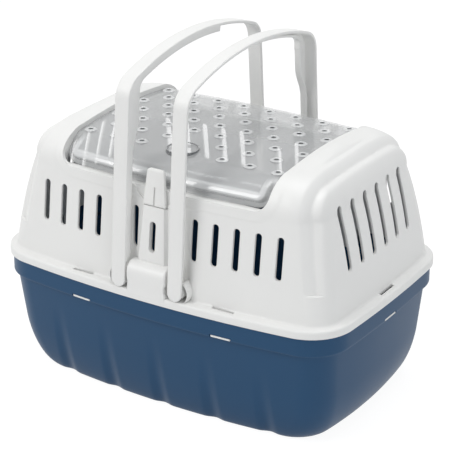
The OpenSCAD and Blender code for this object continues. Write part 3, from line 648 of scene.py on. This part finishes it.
def make_roof(material, pale, edge):
    """The clear roof: its bumps get the pale material, and the cut edges of its holes and boss the other, a dark
    painted shade.
    """
    levels = [("wall", SHOULDER_Z - 4), ("wall", SHOULDER_Z)] + [("shoulder", a) for a in np.linspace(1.5, 90, 56)]
    levels += form_levels(LEDGE_Z)[-10:]
    roof = loft("roof_outer", [lid_ring(level, LID_DROP) for level in levels])
    inner = [("wall", SHOULDER_Z - 6)] + levels
    cut(roof, loft("roof_hollow", [lid_ring(level, LID_DROP + LID_T) for level in inner]))
    common(roof, window_prism("roof_edge", LID_GAP))
    # notches for the shell's ears, and the barrels and pins between them
    r, w = EAR_R + 0.6, EAR_T / 2 + 0.6
    for sx in (-1, 1):
        for s in (-1, 1):
            x = sx * HINGE_X + s * (BARREL_L / 2 + GAP + EAR_T / 2)
            cut(roof, hinge_rod("notch", x, w, r, n=32),
                block_at("notch_low", (x, HINGE_Y), (w, r), RIM_Z - 2, HINGE_Z))
        add(roof, hinge_rod("barrel", sx * HINGE_X, BARREL_L / 2, EAR_R, n=48),
            hinge_rod("pin", sx * HINGE_X, BARREL_L / 2 + 3.8, PIN_R, n=32))
    # raised air holes, in runs without a gap
    dome = [(BUMP_R + 0.6, -1), (BUMP_R + 0.4, 0.1), (BUMP_R - 0.8, BUMP_H * 0.8), (BUMP_R - 1.8, BUMP_H),
            (HOLE_R + 0.9, BUMP_H), (HOLE_R + 0.2, BUMP_H - 0.5)]
    turn = np.linspace(0, 2 * math.pi, 32, endpoint=False)
    circle = np.column_stack([np.cos(turn), np.sin(turn)])
    for y, columns in air_holes():
        gaps = [i for i in range(1, len(columns)) if columns[i] - columns[i - 1] > HOLE_PITCH_X + 1]
        for i, j in zip([0] + gaps, gaps + [len(columns)]):
            row = j - i, (columns[i], y, lid_top(y)), (HOLE_PITCH_X, 0, 0)
            add(roof, row_of("bumps", loft("bump", [at_height(q * circle, h) for q, h in dome]), *row))
            cut(roof, row_of("holes", rod("hole", (0, 0, -10), (0, 0, 10), HOLE_R, n=24), *row))
    z = lid_top(BOSS_Y)
    ring = rod("boss_ring", (0, -BOSS_Y, z - 3.6), (0, -BOSS_Y, z + 2), BOSS_R, BOSS_R - 0.8, n=96)
    cut(ring, rod("boss_room", (0, -BOSS_Y, z - 5), (0, -BOSS_Y, z + 3), BOSS_R - 2.4, BOSS_R - 1.8, n=96))
    add(roof, ring)
    outer = side_at(RIM_Z) - LID_DROP
    add(roof, block("catch", (-6, -outer - 1, RIM_Z + 4), (6, -outer + 4, RIM_Z + 9)))
    finish_piece(roof, material)
    roof.data.materials.append(pale)
    roof.data.materials.append(edge)
    holes = np.array([(x, y) for y, columns in air_holes() for x in columns])
    for face in roof.data.polygons:
        c, n = np.array(face.center) / MM, face.normal
        reach = np.hypot(*(holes - c[:2]).T).min()
        on_boss = BOSS_R - 2.6 < math.hypot(c[0], c[1] + BOSS_Y) < BOSS_R + 0.2 and c[2] > 250
        # painted shade: the upright walls of the holes and the boss ring get the dark material
        if abs(n.z) < 0.5 and (reach < HOLE_R + 0.3 or on_boss):
            face.material_index = 2
        elif reach < BUMP_R + 0.2 and n.z > 0.3:
            face.material_index = 1
    return roof


# ---- the handles

def hoop_path():
    """Outer line of a hoop in its own plane, from the rear foot, as places and inward normals in two halves."""
    lean = math.radians(LEG_LEAN)
    normal, along = np.array([math.cos(lean), math.sin(lean)]), np.array([-math.sin(lean), math.cos(lean)])
    p = (FOOT_FACE * math.cos(lean) - HANDLE_CORNER) * normal
    q = np.array([0, HANDLE_H - GRIP_R])
    b, c = (p - q) @ along, (p - q) @ (p - q) - (GRIP_R - HANDLE_CORNER) ** 2
    corner = p + (-b + math.sqrt(b * b - c)) * along
    turn = math.atan2(corner[1] - q[1], corner[0] - q[0])
    places = []
    leg_top = corner + HANDLE_CORNER * normal
    foot = np.array([FOOT_FACE, 0.0])
    for h in [-8, -7.7, -7.2, -6.4, -5, -3.4, -1.7, 0, 4, 8, 12, 16, 18, 20, 22, 24, 26, 30, 60, 90, 110,
              RIB_TAPER, RIB_TAPER + 8, RIB_TAPER + 15, RIB_TAPER + 23, RIB_FULL]:
        t = h / (leg_top[1] - foot[1])
        if t < 0.995:
            places.append((foot + (leg_top - foot) * t, -normal))
    for centre, r, angles in ((corner, HANDLE_CORNER, np.linspace(lean, turn, 15)),
                              (q, GRIP_R, np.linspace(turn, math.pi / 2, 30)[1:])):
        for a in angles:
            d = np.array([math.cos(a), math.sin(a)])
            places.append((centre + r * d, -d))
    mirrored = [(np.array([-o[0], o[1]]), np.array([-n[0], n[1]])) for o, n in places[::-1][1:]]
    return places, mirrored


def rounded(points, r):
    """A closed polygon with its corners rounded."""
    out = []
    for i in range(len(points)):
        a, b, c = (np.array(points[(i + k) % len(points)], float) for k in (-1, 0, 1))
        u, v = a - b, c - b
        du, dv = np.linalg.norm(u), np.linalg.norm(v)
        back = min(r, 0.45 * du, 0.45 * dv)
        u, v = b + u / max(du, 1e-6) * back, b + v / max(dv, 1e-6) * back
        out += [(1 - t) ** 2 * u + 2 * t * (1 - t) * b + t * t * v for t in np.linspace(0, 1, 4)]
    return out


def hoop_section(depth, h):
    """The hoop's cross-section: strap, side wall and lip, across and inwards. It narrows to the round foot."""
    hw = STRAP_W / 2
    if h < 0:
        hw = max(math.sqrt(max(hw * hw - h * h, 0)), 0.9)
        return rounded([(-hw, 0), (hw, 0)] + [(x, STRAP_T) for x in (
            hw, -hw + 0.3, -hw + 0.2, -hw + 0.1, -hw + 0.05, -hw)], 0.8)
    if depth is None:
        depth = STRAP_T + 0.02
    lip_from = max(depth - RIB_T, STRAP_T + 0.01)
    lip = LIP_W if depth > STRAP_T + RIB_T + 0.5 else RIB_T + 0.01
    return rounded([(-hw, 0), (hw, 0), (hw, STRAP_T), (-hw + RIB_T, STRAP_T), (-hw + RIB_T, lip_from),
                    (-hw + lip, lip_from), (-hw + lip, depth), (-hw, depth)], 0.9)


def make_handle(name, material):
    """The right-hand hoop: its side wall runs from the rear leg over the grip."""
    places, mirrored = hoop_path()

    def ring(place, normal, depth):
        return [(PIVOT_X + s, place[0] + normal[0] * d, PIVOT_Z + place[1] + normal[1] * d)
                for s, d in hoop_section(depth, place[1])]

    def rib(h):
        if h < RIB_FOOT:
            return None
        if h < RIB_SET:
            return RIB_LOW_D * ((h - RIB_FOOT) / (RIB_SET - RIB_FOOT) * 0.55 + 0.45)
        return RIB_LOW_D + (RIB_D - RIB_LOW_D) * float(smooth((h - RIB_TAPER) / (RIB_FULL - RIB_TAPER)))

    def grip(y):
        return GRIP_RIB + (RIB_D - GRIP_RIB) * float(smooth((y - 96) / 21))

    rings = [ring(place, normal, rib(place[1]) if place[1] < RIB_FULL else grip(place[0]))
             for place, normal in places]
    # past the middle the side wall goes on a little and then ends in one step
    k = sum(-place[0] <= RIB_START for place, normal in mirrored)
    rings += [ring(*way, GRIP_RIB) for way in mirrored[:k + 1]] + [ring(*way, None) for way in mirrored[k:]]
    hoop = loft(name, rings)
    for s in (-1, 1):
        add(hoop, pivot_rod("pin", 1, s * (FOOT_FACE - 1), s * (FOOT_FACE - STRAP_T - 10), PIVOT_PIN_R, n=48))
    return finish_piece(hoop, material)


# ---- the latch

def make_latch(material):
    """The latch's tab: rolled foot, sides that lean together, rounded tip and a fine slit."""
    back, root = -SCOOP_D + 2 * GAP, (BAY_PROUD + SCOOP_D - 2 * GAP) / 2
    rings = []
    for v in [0.05, 0.3, 0.8, root, 6, 12, 18, 24, 30] + [LATCH_L - near for near in (3, 1.6, 0.7, 0.15)]:
        half = LATCH_HW + (LATCH_TIP_HW - LATCH_HW) * max(v - root, 0) / (LATCH_L - root)
        near = LATCH_L - v
        half -= 0 if near > TIP_R else TIP_R - math.sqrt(TIP_R ** 2 - (TIP_R - near) ** 2)
        low, high = back, BAY_PROUD
        if v < root:
            bulge = math.sqrt(root * root - (root - v) ** 2)
            low, high = back + root - bulge, back + root + bulge
        elif near < TIP_R:
            high -= 1.2 - math.sqrt(1.44 - (1.2 * (1 - near / TIP_R)) ** 2)
        section = rounded([(-half, low), (half, low), (half, high), (-half, high)], 0.9)
        rings.append(on_front_wall(LATCH_Z, [(u, v, w) for u, w in section]))
    latch = loft("latch_tab", rings)
    slit = [(-0.7, -1), (0.7, -1), (0.7, 19), (-0.7, 19)]
    cut(latch, on_wall_loft("slit", LATCH_Z, [(slit, BAY_PROUD - 1.0), (slit, BAY_PROUD + 2)]))
    return finish_piece(latch, material)


# ---- the snap tongues' catches

def make_catch(name, sx, sy, material):
    """A tongue's outer edge, seen in the slot of the tray's collar. With sy = 0 it belongs to an end."""
    low, reach, half = COLLAR_Z + 0.3, 4.2, TONGUE_W / 2 - 0.4
    face = (SHELL_W / 2 - bow_at(TONGUE_X) if sy else SHELL_L / 2) - COLLAR_SET - 0.3
    slope = 2 * SIDE_BOW * TONGUE_X / (SHELL_L / 2) ** 2 if sy else 0
    rings = []
    for t, thin in ((-half, 0.4), (-half + 0.5, 0), (half - 0.5, 0), (half, 0.4)):
        out = face - slope * t
        bottom, top = low + thin, low + CATCH_H - thin
        section = rounded([(out - reach, bottom), (out - thin, bottom), (out - thin, top), (out - reach, top)], 0.5)
        rings.append([(sx * (TONGUE_X + t), sy * d, z) if sy else (sx * d, t, z) for d, z in section])
    return finish_piece(loft(name, rings), material)


# ---- materials

def make_node(tree, kind, group=None, **values):
    """A new node, of a node group where one is given, with inputs set by name, underscores for spaces."""
    node = tree.nodes.new(kind)
    if group:
        node.node_tree = group
    for label, value in values.items():
        node.inputs[label.replace("_", " ")].default_value = value
    return node


def feed(tree, socket, source):
    """Gives a socket a number, or links it to another node's output."""
    if isinstance(source, (int, float)):
        socket.default_value = source
    else:
        tree.links.new(source, socket)


def math_node(tree, operation, *sources):
    """The result of a maths node whose inputs are numbers or other nodes' outputs."""
    node = tree.nodes.new("ShaderNodeMath")
    node.operation = operation
    for socket, source in zip(node.inputs, sources):
        feed(tree, socket, source)
    return node.outputs[0]


def shader_group(name, inputs, outputs):
    """A node group with number sockets, and the two nodes at its ends."""
    group = bpy.data.node_groups.new(name, "ShaderNodeTree")
    for label, value in inputs:
        socket = group.interface.new_socket(label, in_out="INPUT", socket_type="NodeSocketFloat")
        socket.default_value = value
    for label in outputs:
        group.interface.new_socket(label, in_out="OUTPUT", socket_type="NodeSocketFloat")
    return group, group.nodes.new("NodeGroupInput"), group.nodes.new("NodeGroupOutput")


def grain_group():
    """Fine moulded grain with slow waves: a height for bump, and a mask for patches of shine."""
    scales = ("Grain scale", 900.0), ("Grain depth", 0.4), ("Wave scale", 14.0)
    group, start, end = shader_group("Moulded grain", scales, ("Height", "Patches"))
    place = make_node(group, "ShaderNodeTexCoord")
    fine = make_node(group, "ShaderNodeTexNoise", Detail=3)
    wave = make_node(group, "ShaderNodeTexNoise", Detail=2)
    for noise, scale in ((fine, "Grain scale"), (wave, "Wave scale")):
        wire(group, (place, "Object", noise, "Vector"), (start, scale, noise, "Scale"))
    depth = math_node(group, "MULTIPLY", fine.outputs["Fac"], start.outputs["Grain depth"])
    group.links.new(math_node(group, "ADD", depth, wave.outputs["Fac"]), end.inputs["Height"])
    wire(group, (wave, "Fac", end, "Patches"))
    return group


def edge_highlight_group():
    """A mask for a painted highlight along sharp outer edges, broken up by noise."""
    group, start, end = shader_group("Edge wear", (("Break scale", 120.0), ("Amount", 0.5)), ("Mask",))
    shape, place = make_node(group, "ShaderNodeNewGeometry"), make_node(group, "ShaderNodeTexCoord")
    ramp = make_node(group, "ShaderNodeMapRange", From_Min=0.53, From_Max=0.62)
    noise = make_node(group, "ShaderNodeTexNoise")
    wire(group, (shape, "Pointiness", ramp, "Value"), (place, "Object", noise, "Vector"),
         (start, "Break scale", noise, "Scale"))
    broken = math_node(group, "MULTIPLY", ramp.outputs["Result"], noise.outputs["Fac"])
    group.links.new(math_node(group, "MULTIPLY", broken, start.outputs["Amount"]), end.inputs["Mask"])
    return group


GRAIN, EDGE_HIGHLIGHT = grain_group(), edge_highlight_group()


def new_material(name):
    material = bpy.data.materials.new(name)
    material.use_nodes = True
    return material, material.node_tree, material.node_tree.nodes["Principled BSDF"]


def grain_skin(tree, shader, grain, roughness, strength):
    """Uneven shine and fine lumps from a grain node. Gives back the bump node."""
    shine = make_node(tree, "ShaderNodeMapRange", To_Min=roughness[0], To_Max=roughness[1])
    lump = make_node(tree, "ShaderNodeBump", Strength=strength, Distance=GRAIN_RELIEF)
    wire(tree, (grain, "Patches", shine, "Value"), (shine, "Result", shader, "Roughness"),
         (grain, "Height", lump, "Height"), (lump, "Normal", shader, "Normal"))
    return lump


def plastic(name, colour, pale, rough, grain_depth, edge_highlight, edge=0.7, gloss=0.5):
    """Moulded plastic: two close tones in slow patches, a painted highlight that makes sharp outer edges paler,
    uneven shine and rounded small edges.
    """
    material, tree, shader = new_material(name)
    grain = make_node(tree, "ShaderNodeGroup", GRAIN, Grain_depth=grain_depth)
    # painted highlight: sharp outer edges are mixed towards the pale colour
    highlit = make_node(tree, "ShaderNodeGroup", EDGE_HIGHLIGHT, Amount=edge_highlight)
    tones, edges = make_node(tree, "ShaderNodeMix"), make_node(tree, "ShaderNodeMix")
    tones.data_type = edges.data_type = "RGBA"
    tones.inputs["A"].default_value = (*colour, 1)
    tones.inputs["B"].default_value = (*[min(1, c * 1.06) for c in colour], 1)
    edges.inputs["B"].default_value = (*pale, 1)
    wire(tree, (grain, "Patches", tones, "Factor"), (tones, "Result", edges, "A"),
         (highlit, "Mask", edges, "Factor"), (edges, "Result", shader, "Base Color"))
    lump = grain_skin(tree, shader, grain, (rough - 0.05, rough + 0.07), 0.12)
    bevel = make_node(tree, "ShaderNodeBevel", Radius=edge * MM)
    bevel.samples = 4
    wire(tree, (bevel, "Normal", lump, "Normal"))
    shader.inputs["IOR"].default_value = 1.49
    shader.inputs["Specular IOR Level"].default_value = gloss
    return material


def lip_highlight_group():
    """A mask for the painted highlight on the lip along the roof's front: its distance from the window's edge lies
    in a band.
    """
    sizes = (("Half length", WINDOW_HL - WINDOW_R), ("Corner height", RIM_Z + WINDOW_R),
             ("Corner radius", WINDOW_R), ("From", LIP_IN), ("To", LIP_OUT))
    group, start, end = shader_group("Lip of the roof", [(label, size * MM) for label, size in sizes], ("Mask",))
    place, parts = make_node(group, "ShaderNodeTexCoord"), make_node(group, "ShaderNodeSeparateXYZ")
    wire(group, (place, "Object", parts, 0))

    def maths(operation, *sources):
        return math_node(group, operation, *sources)

    def ramp(value, low, high):
        node = make_node(group, "ShaderNodeMapRange")
        node.interpolation_type = "SMOOTHSTEP"
        for label, source in (("Value", value), ("From Min", low), ("From Max", high)):
            feed(group, node.inputs[label], source)
        return node.outputs["Result"]

    across = maths("SUBTRACT", maths("ABSOLUTE", parts.outputs["X"]), start.outputs["Half length"])
    below = maths("SUBTRACT", start.outputs["Corner height"], parts.outputs["Z"])
    squares = [maths("POWER", maths("MAXIMUM", side, 0.0), 2.0) for side in (across, below)]
    far = maths("POWER", maths("ADD", *squares), 0.5)
    near = maths("MINIMUM", maths("MAXIMUM", across, below), 0.0)
    inside = maths("SUBTRACT", maths("SUBTRACT", start.outputs["Corner radius"], far), near)
    soft = 0.9 * MM
    near_edge, far_edge = start.outputs["From"], start.outputs["To"]
    rise = ramp(inside, maths("SUBTRACT", near_edge, soft), maths("ADD", near_edge, soft))
    fall = ramp(inside, maths("ADD", far_edge, soft), maths("SUBTRACT", far_edge, soft))
    low = ramp(parts.outputs["Z"], (RIM_Z + 25) * MM, (RIM_Z + 18) * MM)
    front = ramp(parts.outputs["Y"], -60 * MM, -70 * MM)
    mask = maths("MULTIPLY", maths("MULTIPLY", rise, fall), maths("MULTIPLY", low, front))
    group.links.new(mask, end.inputs["Mask"])
    return group


def clear_plastic(name, tint, cover, lip=None):
    """Hazy clear plastic. Cover is the share of what lies behind that it hides, lip the tint and cover of the
    painted highlight on the front band.
    """
    material, tree, shader = new_material(name)
    for label, value in (("Base Color", (*tint, 1)), ("IOR", 1.45), ("Alpha", cover), ("Coat Weight", 0.9),
                         ("Coat Roughness", 0.03)):
        shader.inputs[label].default_value = value
    if lip:
        # painted highlight: the front lip band gets a paler tint and hides more
        mask = make_node(tree, "ShaderNodeGroup", lip_highlight_group())
        tints = make_node(tree, "ShaderNodeMix")
        tints.data_type = "RGBA"
        tints.inputs["A"].default_value, tints.inputs["B"].default_value = (*tint, 1), (*lip[0], 1)
        covers = make_node(tree, "ShaderNodeMapRange", To_Min=cover, To_Max=lip[1])
        wire(tree, (mask, "Mask", tints, "Factor"), (mask, "Mask", covers, "Value"),
             (tints, "Result", shader, "Base Color"), (covers, "Result", shader, "Alpha"))
    grain = make_node(tree, "ShaderNodeGroup", GRAIN, Grain_scale=260, Grain_depth=0.15)
    grain_skin(tree, shader, grain, (0.08, 0.2), 0.04)
    return material


def from_screen(r, g, b):
    """A colour as seen on a screen, 0 to 255, as the renderer's linear values."""
    return [(c / 255 / 12.92) if c / 255 <= 0.04045 else ((c / 255 + 0.055) / 1.055) ** 2.4 for c in (r, g, b)]


# the second colour of each plastic is a painted highlight along its sharp outer edges
WHITE = plastic("white moulded plastic", from_screen(229, 229, 227), from_screen(242, 242, 240), rough=0.42,
                grain_depth=0.35, edge_highlight=0.4, edge=1.3)
BLUE = plastic("deep blue moulded plastic", from_screen(37, 73, 106), from_screen(84, 112, 142), rough=0.38,
               grain_depth=0.4, edge_highlight=0.35, gloss=0.2)
# the lip's paler tint and higher cover are a painted highlight along the roof's front lip
CLEAR = clear_plastic("hazy clear roof", (0.74, 0.75, 0.75), 0.42, lip=((0.80, 0.81, 0.81), 0.66))
PALE_BUMP = clear_plastic("pale moulded bump", (0.88, 0.89, 0.89), 0.6)
# dark painted shade for the walls of the roof's holes and boss ring
HOLE_EDGE_SHADE = clear_plastic("smoky cut edge", (0.10, 0.11, 0.12), 0.62)

shell = make_shell(WHITE)
shell.name = "shell_body"
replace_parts(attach(shell, "upper_shell"), "upper_shell")

tray = make_tray(BLUE)
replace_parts(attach(tray, "tray"), "base_tray")

roof = make_roof(CLEAR, PALE_BUMP, HOLE_EDGE_SHADE)
roof.name = "clear_roof"
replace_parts(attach(roof, "roof"), "roof_lid")

right_hoop = make_handle("right_hoop", WHITE)
left_hoop = turned(right_hoop, "left_hoop")
for hoop, body, node in ((right_hoop, "handle_right", "right_handle"), (left_hoop, "handle_left", "left_handle")):
    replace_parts(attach(hoop, body), node)

latch = make_latch(WHITE)
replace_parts(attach(latch, "latch"), "front_latch")

for sx, across in ((-1, "left"), (1, "right")):
    for sy, along in ((-1, "front_"), (1, "rear_"), (0, "")):
        body = "tongue_" + along + across + ("" if sy else "_end")
        catch = make_catch(body.replace("tongue", "catch"), sx, sy, WHITE)
        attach(catch, body)

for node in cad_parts.values():
    if not node.hide_render:
        node.data.materials.clear()
        node.data.materials.append(WHITE)


# ---- camera, floor and light

CAMERA_PLACE, CAMERA_AZIMUTH, CAMERA_ELEVATION = (0.89735, -1.40028, 0.88190), 32.487, 23.545
CAMERA_LENS, SENSOR_WIDTH = 142.587, 36
SKY_TINT, SKY_STRENGTH = (0.95, 0.97, 1.0, 1), 0.42
FLOOR_HALF, FLOOR_DROP = 9000, 0.0006
BODY_AIM = (0, 0, 0.15)


def white_backdrop(tree, output, lit, shown):
    """Gives the camera and shiny or clear surfaces the shown shader, and all other rays the lit one."""
    path, mix, out = (make_node(tree, kind) for kind in ("ShaderNodeLightPath", "ShaderNodeMixShader", output))
    seen = math_node(tree, "MAXIMUM", path.outputs["Is Camera Ray"], path.outputs["Is Glossy Ray"])
    seen = math_node(tree, "MAXIMUM", seen, path.outputs["Is Transmission Ray"])
    tree.links.new(seen, mix.inputs[0])
    wire(tree, (lit, 0, mix, 1), (shown, 0, mix, 2), (mix, 0, out, "Surface"))


camera_data = bpy.data.cameras.new("camera")
camera = new_object("camera", camera_data)
camera.location = CAMERA_PLACE
camera.rotation_euler = (math.radians(90 - CAMERA_ELEVATION), 0, math.radians(CAMERA_AZIMUTH))
camera_data.lens, camera_data.sensor_width = CAMERA_LENS, SENSOR_WIDTH
camera_data.clip_start, camera_data.clip_end = 0.05, 60
bpy.context.scene.camera = camera

world = bpy.data.worlds.new("studio")
bpy.context.scene.world = world
world.use_nodes = True
world.node_tree.nodes.clear()
soft = make_node(world.node_tree, "ShaderNodeBackground", Color=SKY_TINT, Strength=SKY_STRENGTH)
white = make_node(world.node_tree, "ShaderNodeBackground", Color=(1, 1, 1, 1), Strength=1.0)
white_backdrop(world.node_tree, "ShaderNodeOutputWorld", soft, white)

corners = [(x * FLOOR_HALF, y * FLOOR_HALF, 0) for x, y in ((-1, -1), (1, -1), (1, 1), (-1, 1))]
floor = new_piece("floor", corners, [(0, 1, 2, 3)])
floor.location.z = -FLOOR_DROP
floor_look = bpy.data.materials.new("pale floor")
floor_look.use_nodes = True
tree = floor_look.node_tree
tree.nodes.clear()
paper = make_node(tree, "ShaderNodeBsdfDiffuse", Color=(0.9, 0.9, 0.9, 1))
glow = make_node(tree, "ShaderNodeEmission", Strength=1.15)
share = make_node(tree, "ShaderNodeMixShader")
share.inputs[0].default_value = 0.8
wire(tree, (paper, 0, share, 1), (glow, 0, share, 2))
white_backdrop(tree, "ShaderNodeOutputMaterial", paper, share)
floor.data.materials.append(floor_look)


def softbox(name, place, aim, size, power, colour=(1, 1, 1), length=None):
    """A round lamp, or with a length an upright strip."""
    lamp = bpy.data.lights.new(name, "AREA")
    lamp.shape, lamp.size, lamp.energy, lamp.color = "RECTANGLE" if length else "DISK", size, power, colour
    lamp.size_y = length or size
    holder = new_object(name, lamp)
    holder.location = place
    holder.rotation_euler = (Vector(aim) - Vector(place)).to_track_quat("-Z", "Y").to_euler()
    return holder


softbox("key", (-1.3, -1.9, 1.9), BODY_AIM, 1.4, 28, (1.0, 0.99, 0.98))
softbox("fill", (2.2, -0.9, 0.9), BODY_AIM, 1.6, 10, (0.97, 0.98, 1.0))
softbox("top", (0.1, 0.3, 2.3), (0, 0, 0.2), 1.5, 20)
softbox("strip_a", (-1.18, -0.358, 2.419), (0.040, -0.095, 0.254), 0.1, 0.9, length=0.8)
softbox("strip_b", (-0.95, -0.381, 2.499), (0.105, -0.093, 0.254), 0.1, 0.9, length=0.8)

bpy.context.scene.view_settings.view_transform = "Standard"
